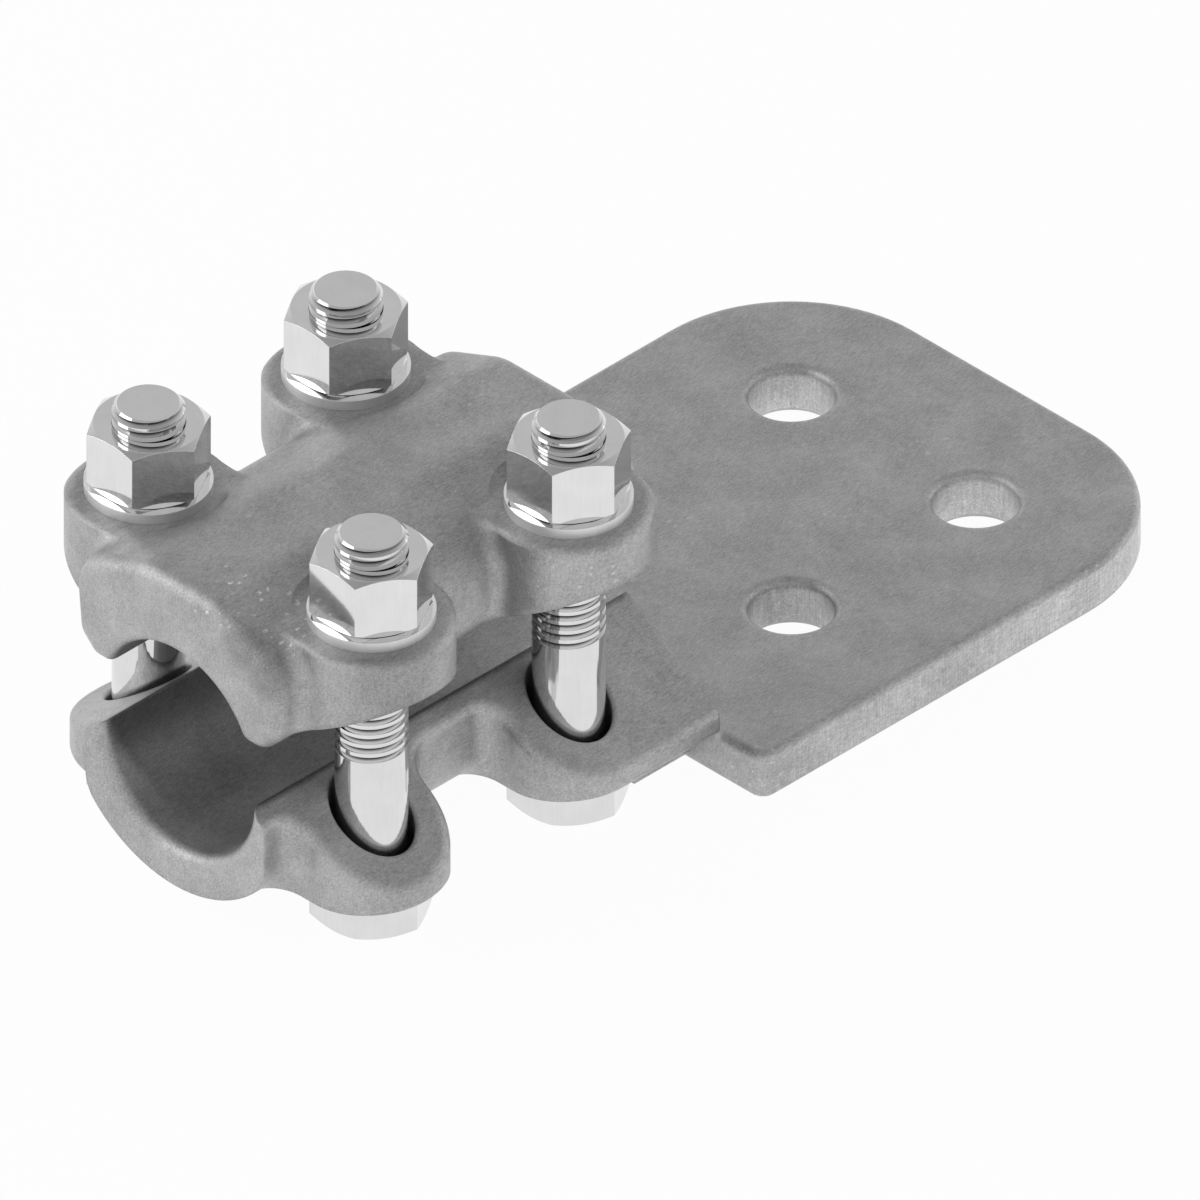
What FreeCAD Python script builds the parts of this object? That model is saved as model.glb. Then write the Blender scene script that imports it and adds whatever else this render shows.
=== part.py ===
"""Bolted cable-to-flat terminal connector, in millimetres.

A cast body carries a trough for the conductor, four bolt ears and a flat pad with four holes. A cast keeper
closes over the conductor and is drawn down by four hex bolts with conical spring washers and nuts.

Frame: the origin is the middle of the pad's hole pattern, on the pad's top face. X runs along the conductor
from the open end of the clamp towards the pad's far edge, Y is across, Z is up. Front is the open end of
the clamp, left is +Y.
"""

import FreeCAD, Part
import math
import os

import Sketcher

SIZES = {
    # pad
    "pad_width": (101.6, "across the pad"),
    "pad_far_reach": (50.8, "hole pattern's middle to the far edge"),
    "pad_near_reach": (57.7, "hole pattern's middle to the near edge"),
    "pad_thickness": (9.525, "plate"),
    "pad_hole_spacing": (44.45, "pitch of the four holes, both ways"),
    "pad_hole_diameter": (14.8, "holes for the pad's bolts"),
    "pad_far_corner": (29.5, "plan radius of the two far corners"),
    "pad_near_corner": (3.0, "plan radius of the two near corners"),
    "pad_edge_round": (1.6, "rounding of the plate's edges"),
    "pad_hole_round": (1.6, "rounding of the pad holes' rims"),
    "neck_half_width": (31.0, "half width of the plate where it runs in under the neck"),
    "neck_reach": (11.3, "how far the plate runs in under the neck"),
    "gusset_reach": (7.8, "webs under the neck, outwards"),
    "gusset_drop": (7.6, "webs under the neck, downwards"),
    # bolts
    "clamp_offset": (104.5, "hole pattern's middle to the middle of the four bolts"),
    "bolt_spacing_along": (47.625, "between bolts along the conductor"),
    "bolt_spacing_across": (53.8, "between bolts across the conductor"),
    "bolt_diameter": (12.7, "shank"),
    "bolt_end_rise": (3.9, "bolts' ends above the nuts"),
    "bolt_end_chamfer": (0.9, "bevel of the bolt's end"),
    "hex_across_flats": (19.05, "heads and nuts"),
    "head_height": (8.73, "bolt head"),
    "head_seat": (1.05, "height of the heads' seats above the pad's top face"),
    "head_clearance": (0.3, "between a head's flat and its pocket's wall"),
    "bolt_hole_diameter": (14.8, "cored holes for the clamp bolts"),
    "thread_clearance": (0.05, "radial, between nut bore and bolt"),
    # lower casting
    "body_front_reach": (44.5, "middle of the bolts to the body's front face"),
    "trough_outer_radius": (27.2, "outside of the trough"),
    "trough_axis_height": (21.0, "centre of the trough's outside"),
    "trough_half_width": (21.5, "half width over the trough's upright walls"),
    "groove_radius": (17.9, "conductor groove, both castings"),
    "groove_axis_height": (19.4, "centre of the lower groove"),
    "ramp_inner_height": (18.55, "top of the lip beside the groove"),
    "ramp_outer_height": (4.2, "ramp at the ears' outer ends"),
    "lower_ear_radius": (13.5, "round ends of the lower ears"),
    "lower_ear_drop": (0.4, "underside of the ears below the pad's top face"),
    "trough_flank_round": (8.0, "rounding between the trough's bottom and its upright walls"),
    "ear_blend": (4.5, "inside blend between ears and trough"),
    "ear_edge_round": (2.5, "rounding round the top of the lower ears"),
    "ear_foot_round": (1.6, "rounding round the underside of the lower ears"),
    "hole_mouth_round": (0.6, "rounding of the bolt holes' upper rims"),
    "groove_mouth_round": (2.5, "rounding of the groove's front mouth"),
    # keeper
    "keeper_length": (88.9, "along the conductor"),
    "shoulder_height": (50.0, "where the crown's slope meets the side"),
    "crown_rise": (6.7, "top of the keeper above the shoulders"),
    "crown_half_flat": (8.5, "half width of the level crown"),
    "shoulder_round": (9.0, "rounding of the shoulders"),
    "crown_round": (10.0, "rounding between crown and slope"),
    "keeper_half_width": (25.4, "half width at the shoulders"),
    "waist_half_width": (24.1, "half width just above the feet"),
    "waist_height": (35.2, "where the sides turn in to the feet"),
    "waist_round": (4.0, "rounding there"),
    "foot_half_width": (20.2, "outer edge of the feet's tips"),
    "foot_height": (31.3, "tips of the feet"),
    "foot_round": (3.0, "rounding of the feet's tips"),
    "keeper_end_round": (3.0, "rounding of the keeper's two ends"),
    "keeper_groove_height": (24.6, "centre of the upper groove"),
    "keeper_mouth_round": (1.5, "rounding of the upper groove's edges, ends and feet"),
    "upper_ear_radius": (14.5, "round ends of the keeper's ears"),
    "upper_ear_rise": (3.3, "seats of the washers above the shoulders"),
    "upper_ear_thickness": (9.4, "keeper's ears at their outer ends"),
    "upper_ear_blend": (3.0, "inside blend between the keeper's ears and its sides"),
    "upper_ear_top_round": (2.5, "rounding round the ears' tops"),
    "washer_seat_radius": (12.4, "level seat cut into the crown's flank"),
    "washer_seat_round": (2.0, "rounding at the foot of that cut"),
    # washers and nuts
    "washer_outer_diameter": (22.25, "spring washer"),
    "washer_inner_diameter": (13.5, "spring washer"),
    "washer_thickness": (1.95, "spring washer's sheet"),
    "washer_rise": (0.15, "height of the washer's cone, drawn nearly flat"),
    "nut_height": (11.6, "hex nut"),
    "hex_bevel_angle": (30.0, "bevel of the nuts' and heads' corners, in degrees"),
}

document = FreeCAD.newDocument("terminal_connector")
sheet = document.addObject("Spreadsheet::Sheet", "Sizes")


def fill_sheet():
    """Write every driving size into the sheet, with its alias and its meaning."""
    for row, (alias, (amount, meaning)) in enumerate(SIZES.items(), start=1):
        sheet.set(f"A{row}", alias)
        sheet.set(f"B{row}", str(amount))
        sheet.set(f"C{row}", meaning)
        sheet.setAlias(f"B{row}", alias)
    document.recompute()


class Size:
    """A length that is both a number and the sheet's expression for it."""

    def __init__(self, amount, text):
        self.amount = amount
        self.text = text

    @staticmethod
    def of(other):
        """Take a plain number as a size."""
        return other if isinstance(other, Size) else Size(float(other), repr(float(other)))

    def __add__(self, other):
        other = Size.of(other)
        return Size(self.amount + other.amount, f"({self.text} + {other.text})")

    def __sub__(self, other):
        other = Size.of(other)
        return Size(self.amount - other.amount, f"({self.text} - {other.text})")

    def __mul__(self, other):
        other = Size.of(other)
        return Size(self.amount * other.amount, f"({self.text} * {other.text})")

    def __truediv__(self, other):
        other = Size.of(other)
        return Size(self.amount / other.amount, f"({self.text} / {other.text})")

    def __neg__(self):
        return Size(-self.amount, f"(0 - {self.text})")

    def __radd__(self, other):
        return Size.of(other) + self

    def __rsub__(self, other):
        return Size.of(other) - self

    def __rmul__(self, other):
        return Size.of(other) * self

    def root(self):
        """Square root."""
        return Size(math.sqrt(self.amount), f"sqrt({self.text})")


def size(alias):
    """The named size, tied to its cell."""
    return Size(SIZES[alias][0], f"Sizes.{alias}")


def leg(hypotenuse, other_leg):
    """Third side of a right triangle."""
    return (hypotenuse * hypotenuse - other_leg * other_leg).root()


# places worked out from the driving sizes
CLAMP_X = -size("clamp_offset")
PAD_NEAR_X = -size("pad_near_reach")
HALF_ALONG = size("bolt_spacing_along") / 2
HALF_ACROSS = size("bolt_spacing_across") / 2
BOLT_RADIUS = size("bolt_diameter") / 2
HEX_CORNER_RADIUS = size("hex_across_flats") / math.sqrt(3)
BODY_FRONT_X = CLAMP_X - size("body_front_reach")
BODY_LENGTH = PAD_NEAR_X - BODY_FRONT_X
EAR_OUTER = HALF_ACROSS + size("lower_ear_radius")
EAR_UNDERSIDE = -size("lower_ear_drop")
TROUGH_BOTTOM = size("trough_axis_height") - size("trough_outer_radius")
RAMP_SLOPE = (size("ramp_inner_height") - size("ramp_outer_height")) / (EAR_OUTER - size("groove_radius"))
HEAD_BOTTOM = size("head_seat") - size("head_height")
WASHER_HEIGHT = size("washer_thickness") + size("washer_rise")
CROWN = size("shoulder_height") + size("crown_rise")
UPPER_EAR_TOP = size("shoulder_height") + size("upper_ear_rise")
UPPER_EAR_BOTTOM = UPPER_EAR_TOP - size("upper_ear_thickness")
UPPER_EAR_OUTER = HALF_ACROSS + size("upper_ear_radius")
NUT_BOTTOM = UPPER_EAR_TOP + WASHER_HEIGHT
NUT_TOP = NUT_BOTTOM + size("nut_height")
ROOM = 4.0  # how far a cutting tool stands past the metal

CORNERS = {
    "front_left": (-1, 1),
    "front_right": (-1, -1),
    "rear_left": (1, 1),
    "rear_right": (1, -1),
}


def ramp_height(half_width):
    """Height of the lower casting's ramp at a distance from the middle plane."""
    return size("ramp_outer_height") + (EAR_OUTER - half_width) * RAMP_SLOPE


def origin_plane(body, role):
    """One of the body's own three planes."""
    return next(plane for plane in body.Origin.OriginFeatures if plane.Role == role)


def bind(thing, prop, amount):
    """Tie a property to the sheet."""
    thing.setExpression(prop, Size.of(amount).text)


def sketch_on(body, role, name, offset=None, aside=None):
    """A sketch on one of the body's planes, moved along the plane's normal and along the sketch's own x."""
    sketch = body.newObject("Sketcher::SketchObject", name)
    sketch.AttachmentSupport = [(origin_plane(body, role), "")]
    sketch.MapMode = "FlatFace"
    if offset is not None:
        bind(sketch, "AttachmentOffset.Base.z", offset)
    if aside is not None:
        bind(sketch, "AttachmentOffset.Base.x", aside)
    document.recompute()
    return sketch


def upright_sketch(body, name, x, y):
    """An upright sketch along X whose own vertical axis stands at a place in plan."""
    return sketch_on(body, "XZ_Plane", name, -y, x)


def fix(sketch, kind, geometry, point, amount):
    """Give one coordinate of a sketch point, tied to the sheet."""
    if amount.amount == 0:
        axis = -2 if kind == "DistanceX" else -1
        sketch.addConstraint(Sketcher.Constraint("PointOnObject", geometry, point, axis))
        return
    index = sketch.addConstraint(Sketcher.Constraint(kind, -1, 1, geometry, point, amount.amount))
    bind(sketch, f"Constraints[{index}]", amount)


def add_circle(sketch, x, y, radius):
    """A circle whose middle and radius are tied to the sheet."""
    x, y, radius = Size.of(x), Size.of(y), Size.of(radius)
    centre = FreeCAD.Vector(x.amount, y.amount, 0)
    circle = sketch.addGeometry(Part.Circle(centre, FreeCAD.Vector(0, 0, 1), radius.amount), False)
    fix(sketch, "DistanceX", circle, 3, x)
    fix(sketch, "DistanceY", circle, 3, y)
    index = sketch.addConstraint(Sketcher.Constraint("Radius", circle, radius.amount))
    bind(sketch, f"Constraints[{index}]", radius)


def add_outline(sketch, start, steps):
    """A closed outline of straight and round stretches.

    Each step is (x, y) for a straight stretch, or (x, y, radius, turn) for a round one, where turn is 1 for
    an arc that turns left and -1 for one that turns right. The last step ends where the outline starts.
    """
    here = (Size.of(start[0]), Size.of(start[1]))
    ends = []
    for step in steps:
        there = (Size.of(step[0]), Size.of(step[1]))
        a = FreeCAD.Vector(here[0].amount, here[1].amount, 0)
        b = FreeCAD.Vector(there[0].amount, there[1].amount, 0)
        if len(step) == 2:
            index = sketch.addGeometry(Part.LineSegment(a, b), False)
            ends.append((index, 1, 2, there))
        else:
            radius, turn = Size.of(step[2]), step[3]
            chord = b - a
            side = FreeCAD.Vector(-chord.y, chord.x, 0).normalize()
            centre = (a + b) * 0.5 + side * (turn * math.sqrt(radius.amount ** 2 - (chord.Length / 2) ** 2))
            first, last = (a, b) if turn > 0 else (b, a)
            angles = [math.atan2(p.y - centre.y, p.x - centre.x) for p in (first, last)]
            circle = Part.Circle(centre, FreeCAD.Vector(0, 0, 1), radius.amount)
            index = sketch.addGeometry(Part.ArcOfCircle(circle, angles[0], angles[1]), False)
            at = sketch.addConstraint(Sketcher.Constraint("Radius", index, radius.amount))
            bind(sketch, f"Constraints[{at}]", radius)
            ends.append((index, 1, 2, there) if turn > 0 else (index, 2, 1, there))
        here = there
    for place, (index, _, finish, there) in enumerate(ends):
        following = ends[(place + 1) % len(ends)]
        sketch.addConstraint(Sketcher.Constraint("Coincident", index, finish, following[0], following[1]))
        fix(sketch, "DistanceX", index, finish, there[0])
        fix(sketch, "DistanceY", index, finish, there[1])


def pad(body, sketch, name, length, away=False):
    """Metal from a sketch, along its normal or away from it."""
    feature = body.newObject("PartDesign::Pad", name)
    feature.Profile = sketch
    feature.Reversed = away
    bind(feature, "Length", length)
    document.recompute()
    return feature


def pocket(body, sketch, name, depth, along=False):
    """Metal cut away under a sketch, against its normal or along it."""
    before = body.Shape.Volume
    feature = body.newObject("PartDesign::Pocket", name)
    feature.Profile = sketch
    feature.Reversed = along
    bind(feature, "Length", depth)
    document.recompute()
    if not body.Shape.Volume < before:
        raise RuntimeError(f"{name} cuts nothing")
    return feature


def revolve(body, sketch, name, cut=False, angle=360, backwards=False):
    """A sketch turned about its own vertical axis."""
    before = body.Shape.Volume if cut else 0
    feature = body.newObject("PartDesign::Groove" if cut else "PartDesign::Revolution", name)
    feature.Profile = sketch
    feature.ReferenceAxis = (sketch, ["V_Axis"])
    feature.Angle = angle
    feature.Reversed = backwards
    document.recompute()
    if cut and not body.Shape.Volume < before:
        raise RuntimeError(f"{name} cuts nothing")
    return feature


def round_edges(body, name, radius, wanted):
    """Round the edges of the body's present shape that the test picks."""
    tip = body.Tip
    names = [f"Edge{number}" for number, edge in enumerate(tip.Shape.Edges, start=1) if wanted(edge)]
    if not names:
        raise RuntimeError(f"{name} finds no edge")
    feature = body.newObject("PartDesign::Fillet", name)
    feature.Base = (tip, names)
    bind(feature, "Radius", radius)
    document.recompute()
    if "Invalid" in feature.State:
        raise RuntimeError(f"{name} can't be rounded")
    return feature


def middle(edge):
    """The point half way along an edge."""
    first, last = edge.ParameterRange
    return edge.valueAt((first + last) / 2)


def near(value, amount, within=0.01):
    """Whether a coordinate is where a size puts it."""
    return abs(value - Size.of(amount).amount) < within


def new_body(name):
    """An empty body whose label is its node's name."""
    body = document.addObject("PartDesign::Body", name)
    body.Label = name
    return body


def bolt_places():
    """The four bolt axes."""
    for name, (along, across) in CORNERS.items():
        yield name, CLAMP_X + HALF_ALONG * along, HALF_ACROSS * across


def ear_outline(sketch, x, across, radius, root):
    """A tongue with a round end, reaching from the middle of the clamp out round a bolt axis."""
    axis = HALF_ACROSS * across
    left, right = x - radius, x + radius
    turn = 1 if across < 0 else -1
    # the round end is two quarter arcs, so that each has one clear centre
    add_outline(sketch, (left, root * across), [
        (left, axis),
        (x, axis + radius * across, radius, turn),
        (right, axis, radius, turn),
        (right, root * across),
        (left, root * across),
    ])


def soften_ear(body, name, x, y, radius, level, round_radius, up, angle=180):
    """Round an ear's outer edge, fading out where its blends begin.

    The cut is turned about an axis that stands the rounding's radius nearer the middle than the bolt.
    """
    across = 1 if y.amount > 0 else -1
    reach = radius + round_radius
    sketch = upright_sketch(body, f"{name}_outline", x, y - round_radius * across)
    add_outline(sketch, (-radius, level), [
        (-reach, level - round_radius * up, round_radius, up),
        (-reach - ROOM, level - round_radius * up),
        (-reach - ROOM, level + ROOM * up),
        (-radius, level + ROOM * up),
        (-radius, level),
    ])
    revolve(body, sketch, name, cut=True, angle=angle, backwards=y.amount > 0)


def build_plate(body):
    """The pad's plate, edges rounded."""
    half = size("pad_width") / 2
    far = size("pad_far_reach")
    corner, small = size("pad_far_corner"), size("pad_near_corner")
    sketch = sketch_on(body, "XY_Plane", "plate_outline")
    add_outline(sketch, (PAD_NEAR_X, -half + small), [
        (PAD_NEAR_X + small, -half, small, 1),
        (far - corner, -half),
        (far, -half + corner, corner, 1),
        (far, half - corner),
        (far - corner, half, corner, 1),
        (PAD_NEAR_X + small, half),
        (PAD_NEAR_X, half - small, small, 1),
        (PAD_NEAR_X, -half + small),
    ])
    pad(body, sketch, "plate", size("pad_thickness"), away=True)
    round_edges(body, "plate_edges", size("pad_edge_round"), lambda edge: keeps(edge, "z"))


def join_neck(body):
    """Carry the plate in under the neck, with a web on each side, and close the joint's upper edge."""
    half, reach, drop = size("neck_half_width"), size("gusset_reach"), size("gusset_drop")
    start, past = PAD_NEAR_X - size("neck_reach"), PAD_NEAR_X + size("pad_edge_round")
    sketch = sketch_on(body, "XY_Plane", "tongue_outline", EAR_UNDERSIDE)
    add_rectangle(sketch, start, past, half)
    pad(body, sketch, "tongue", size("pad_thickness") + EAR_UNDERSIDE, away=True)
    sketch = sketch_on(body, "XY_Plane", "joint_outline")
    add_rectangle(sketch, PAD_NEAR_X, past, EAR_OUTER)
    pad(body, sketch, "joint", size("pad_edge_round"), away=True)
    sketch = sketch_on(body, "YZ_Plane", "gusset_outline", PAD_NEAR_X)
    for across in (1, -1):
        add_outline(sketch, (half * across, EAR_UNDERSIDE), [
            (half * across, EAR_UNDERSIDE - drop),
            ((half + reach) * across, EAR_UNDERSIDE),
            (half * across, EAR_UNDERSIDE),
        ])
    pad(body, sketch, "gussets", size("neck_reach"), away=True)


def add_rectangle(sketch, near_x, far_x, half_width):
    """A rectangle about the middle plane."""
    add_outline(sketch, (near_x, -half_width), [
        (far_x, -half_width),
        (far_x, half_width),
        (near_x, half_width),
        (near_x, -half_width),
    ])


def build_trough(body):
    """The trough's outside: a round bottom between upright walls."""
    wall = size("trough_half_width")
    axis = size("trough_axis_height")
    radius = size("trough_outer_radius")
    turn_in = axis - leg(radius, wall)
    top = size("ramp_inner_height") + ROOM
    sketch = sketch_on(body, "YZ_Plane", "trough_outline", BODY_FRONT_X)
    add_outline(sketch, (-wall, turn_in), [
        (0, axis - radius, radius, 1),
        (wall, turn_in, radius, 1),
        (wall, top),
        (-wall, top),
        (-wall, turn_in),
    ])
    pad(body, sketch, "trough", BODY_LENGTH)
    round_edges(body, "trough_flanks", size("trough_flank_round"), lambda edge:
                near(abs(middle(edge).y), wall) and near(middle(edge).z, turn_in))


def build_lower_ears(body):
    """The four ears, the rear pair running on into the neck.

    The ears start below the trough, so that their blends run round its flank, and are cut off level after.
    """
    radius = size("lower_ear_radius")
    root = size("groove_radius") / 2
    height = size("ramp_inner_height") + ROOM - TROUGH_BOTTOM + ROOM
    front_x, rear_x = CLAMP_X - HALF_ALONG, CLAMP_X + HALF_ALONG
    for across, side in ((1, "left"), (-1, "right")):
        sketch = sketch_on(body, "XY_Plane", f"front_ear_{side}_outline", TROUGH_BOTTOM - ROOM)
        ear_outline(sketch, front_x, across, radius, root)
        pad(body, sketch, f"front_ear_{side}", height)
        axis, turn = HALF_ACROSS * across, (1 if across < 0 else -1)
        sketch = sketch_on(body, "XY_Plane", f"rear_ear_{side}_outline", TROUGH_BOTTOM - ROOM)
        add_outline(sketch, (rear_x - radius, root * across), [
            (rear_x - radius, axis),
            (rear_x, EAR_OUTER * across, radius, turn),
            (PAD_NEAR_X, EAR_OUTER * across),
            (PAD_NEAR_X, root * across),
            (rear_x - radius, root * across),
        ])
        pad(body, sketch, f"rear_ear_{side}", height)
    sides = [front_x - radius, front_x + radius, rear_x - radius]
    wall = size("trough_half_width")
    round_edges(body, "ear_blends", size("ear_blend"), lambda edge:
                any(near(middle(edge).x, side) and keeps(edge, "x") for side in sides)
                and root.amount + 0.1 < abs(middle(edge).y) < wall.amount + 0.01
                and not keeps(edge, "z"))
    cut_ear_undersides(body)


def cut_ear_undersides(body):
    """Cut the ears off level, leaving the trough's round bottom."""
    radius, axis = size("trough_outer_radius"), size("trough_axis_height")
    half = leg(radius, axis - EAR_UNDERSIDE)
    outer, low = EAR_OUTER + ROOM, TROUGH_BOTTOM - ROOM * 2
    sketch = sketch_on(body, "YZ_Plane", "ear_underside_outline", PAD_NEAR_X)
    add_outline(sketch, (-half, EAR_UNDERSIDE), [
        (0, TROUGH_BOTTOM, radius, 1),
        (half, EAR_UNDERSIDE, radius, 1),
        (outer, EAR_UNDERSIDE),
        (outer, low),
        (-outer, low),
        (-outer, EAR_UNDERSIDE),
        (-half, EAR_UNDERSIDE),
    ])
    pocket(body, sketch, "ear_undersides", BODY_LENGTH)
    foot = size("ear_foot_round")
    for corner, x, y in bolt_places():
        soften_ear(body, f"ear_foot_{corner}", x, y, size("lower_ear_radius"), EAR_UNDERSIDE, foot, -1,
                   angle=180 if "front" in corner else 90)
    sketch = sketch_on(body, "YZ_Plane", "neck_foot_outline", PAD_NEAR_X)
    for across in (1, -1):
        add_outline(sketch, ((EAR_OUTER - foot) * across, EAR_UNDERSIDE), [
            (EAR_OUTER * across, EAR_UNDERSIDE + foot, foot, across),
            (outer * across, EAR_UNDERSIDE + foot),
            (outer * across, EAR_UNDERSIDE - ROOM),
            ((EAR_OUTER - foot) * across, EAR_UNDERSIDE - ROOM),
            ((EAR_OUTER - foot) * across, EAR_UNDERSIDE),
        ])
    pocket(body, sketch, "neck_feet", PAD_NEAR_X - CLAMP_X - HALF_ALONG)


def keeps(edge, axis):
    """Whether an edge keeps one coordinate along its length."""
    first, last = edge.ParameterRange
    values = [getattr(edge.valueAt(first + (last - first) * part), axis) for part in (0, 0.3, 0.7, 1)]
    return max(values) - min(values) < 0.001


def cut_ramps(body):
    """The slope that falls from the groove's lips to the ears' outer ends, both sides."""
    top = size("ramp_inner_height") + ROOM * 2
    outer = EAR_OUTER + ROOM
    sketch = sketch_on(body, "YZ_Plane", "ramp_outline", PAD_NEAR_X + ROOM)
    add_outline(sketch, (-outer, ramp_height(outer)), [
        (0, ramp_height(Size.of(0))),
        (outer, ramp_height(outer)),
        (outer, top),
        (-outer, top),
        (-outer, ramp_height(outer)),
    ])
    pocket(body, sketch, "ramps", BODY_LENGTH + ROOM * 2)


def cut_groove(body):
    """The conductor's groove along the whole clamp."""
    sketch = sketch_on(body, "YZ_Plane", "groove_outline", PAD_NEAR_X)
    radius, axis = size("groove_radius"), size("groove_axis_height")
    top = ramp_height(Size.of(0)) + ROOM
    add_outline(sketch, (-radius, axis), [
        (0, axis - radius, radius, 1),
        (radius, axis, radius, 1),
        (radius, top),
        (-radius, top),
        (-radius, axis),
    ])
    pocket(body, sketch, "groove", BODY_LENGTH)
    round_edges(body, "ear_tops", size("ear_edge_round"), lambda edge:
                follows_ramp(edge) and abs(middle(edge).y) > radius.amount + 0.1
                and BODY_FRONT_X.amount + 0.1 < middle(edge).x < PAD_NEAR_X.amount - 0.1)


def soften_mouth(body):
    """Round the groove's edge at the front face."""
    radius, axis = size("groove_radius"), size("groove_axis_height")
    round_edges(body, "groove_mouth", size("groove_mouth_round"), lambda edge:
                keeps(edge, "x") and near(middle(edge).x, BODY_FRONT_X)
                and near(math.hypot(middle(edge).y, middle(edge).z - axis.amount), radius))


def follows_ramp(edge):
    """Whether an edge lies in the ramps' slope."""
    first, last = edge.ParameterRange
    points = [edge.valueAt(first + (last - first) * part) for part in (0, 0.3, 0.7, 1)]
    return all(near(point.z, ramp_height(abs(point.y))) for point in points)


def cut_body_holes(body):
    """Bolt holes, the pockets that keep the heads from turning, and the pad's holes."""
    sketch = sketch_on(body, "XY_Plane", "bolt_hole_outline", EAR_UNDERSIDE)
    for _, x, y in bolt_places():
        add_circle(sketch, x, y, size("bolt_hole_diameter") / 2)
    pocket(body, sketch, "bolt_holes", size("ramp_inner_height") + ROOM, along=True)
    sketch = sketch_on(body, "XY_Plane", "head_pocket_outline", HEAD_BOTTOM)
    for _, x, y in bolt_places():
        add_hexagon(sketch, x, y, size("hex_across_flats") / 2 + size("head_clearance"))
    pocket(body, sketch, "head_pockets", size("head_height"), along=True)
    sketch = sketch_on(body, "XY_Plane", "pad_hole_outline")
    pitch = size("pad_hole_spacing") / 2
    for along, across in CORNERS.values():
        add_circle(sketch, pitch * along, pitch * across, size("pad_hole_diameter") / 2)
    pocket(body, sketch, "pad_holes", size("pad_thickness"))
    round_edges(body, "bolt_hole_mouths", size("hole_mouth_round"), lambda edge:
                follows_ramp(edge) and rings_a_bolt(edge, size("bolt_hole_diameter") / 2))
    round_edges(body, "pad_hole_rims", size("pad_hole_round"), lambda edge:
                keeps(edge, "z") and middle(edge).x > PAD_NEAR_X.amount + ROOM
                and edge.Curve.TypeId == "Part::GeomCircle"
                and near(edge.Curve.Radius, size("pad_hole_diameter") / 2))


def add_hexagon(sketch, x, y, flat_radius):
    """A hexagon with two flats square to X."""
    x, y = Size.of(x), Size.of(y)
    corner = flat_radius * (2 / math.sqrt(3))
    add_outline(sketch, (x + flat_radius, y - corner / 2), [
        (x + flat_radius, y + corner / 2),
        (x, y + corner),
        (x - flat_radius, y + corner / 2),
        (x - flat_radius, y - corner / 2),
        (x, y - corner),
        (x + flat_radius, y - corner / 2),
    ])


def build_terminal_body():
    """The lower casting, from trough to pad."""
    body = new_body("terminal_body")
    build_plate(body)
    build_trough(body)
    build_lower_ears(body)
    cut_ramps(body)
    cut_groove(body)
    join_neck(body)
    cut_body_holes(body)
    soften_mouth(body)
    return body


def build_keeper():
    """The upper casting: an arch with four bosses."""
    body = new_body("keeper")
    front = CLAMP_X - size("keeper_length") / 2
    rear = front + size("keeper_length")
    build_arch(body, front, rear)
    build_bosses(body)
    cut_crown(body, rear)
    cut_boss_undersides(body, rear)
    for corner, x, y in bolt_places():
        soften_ear(body, f"boss_top_{corner}", x, y, size("upper_ear_radius"), UPPER_EAR_TOP,
                   size("upper_ear_top_round"), 1)
        cut_washer_seat(body, corner, x, y)
    radius, axis = size("groove_radius"), size("keeper_groove_height")
    low = size("foot_height") - ROOM
    sketch = sketch_on(body, "YZ_Plane", "keeper_groove_outline", rear)
    add_outline(sketch, (-radius, low), [
        (radius, low),
        (radius, axis),
        (0, axis + radius, radius, 1),
        (-radius, axis, radius, 1),
        (-radius, low),
    ])
    pocket(body, sketch, "keeper_groove", size("keeper_length"))
    round_edges(body, "keeper_mouth", size("keeper_mouth_round"), lambda edge:
                keeps(edge, "x") and (near(middle(edge).x, front) or near(middle(edge).x, rear))
                and near(math.hypot(middle(edge).y, middle(edge).z - axis.amount), radius))
    sketch = sketch_on(body, "XY_Plane", "keeper_hole_outline", low)
    for _, x, y in bolt_places():
        add_circle(sketch, x, y, size("bolt_hole_diameter") / 2)
    pocket(body, sketch, "keeper_holes", CROWN - low + ROOM, along=True)
    return body


def build_arch(body, front, rear):
    """The arch's outside, rounded along its length and round its two ends."""
    half, waist, tip = size("keeper_half_width"), size("waist_half_width"), size("foot_half_width")
    crown, flat = CROWN, size("crown_half_flat")
    foot, shoulder, waist_height = size("foot_height"), size("shoulder_height"), size("waist_height")
    sketch = sketch_on(body, "YZ_Plane", "arch_outline", front)
    add_outline(sketch, (-tip, foot), [
        (tip, foot),
        (waist, waist_height),
        (half, shoulder),
        (flat, crown),
        (-flat, crown),
        (-half, shoulder),
        (-waist, waist_height),
        (-tip, foot),
    ])
    pad(body, sketch, "arch", size("keeper_length"))
    corners = (("shoulder", half, shoulder), ("waist", waist, waist_height), ("foot", tip, foot),
               ("crown", flat, crown))
    for name, across, height in corners:
        round_edges(body, f"{name}_rounding", size(f"{name}_round"), lambda edge:
                    near(abs(middle(edge).y), across) and near(middle(edge).z, height))
    round_edges(body, "keeper_ends", size("keeper_end_round"), lambda edge:
                keeps(edge, "x") and (near(middle(edge).x, front) or near(middle(edge).x, rear))
                and not near(middle(edge).z, foot))


def build_bosses(body):
    """Four round bosses, blended into the arch while they still stand tall."""
    low = size("waist_height") - 1
    radius = size("upper_ear_radius")
    sketch = sketch_on(body, "XY_Plane", "boss_outline", low)
    for _, x, y in bolt_places():
        add_circle(sketch, x, y, radius)
    pad(body, sketch, "bosses", CROWN + ROOM - low)
    round_edges(body, "boss_blends", size("upper_ear_blend"), lambda edge:
                rings_a_bolt(edge, radius) and not keeps(edge, "z")
                and not (keeps(edge, "x") and keeps(edge, "y")))


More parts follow.
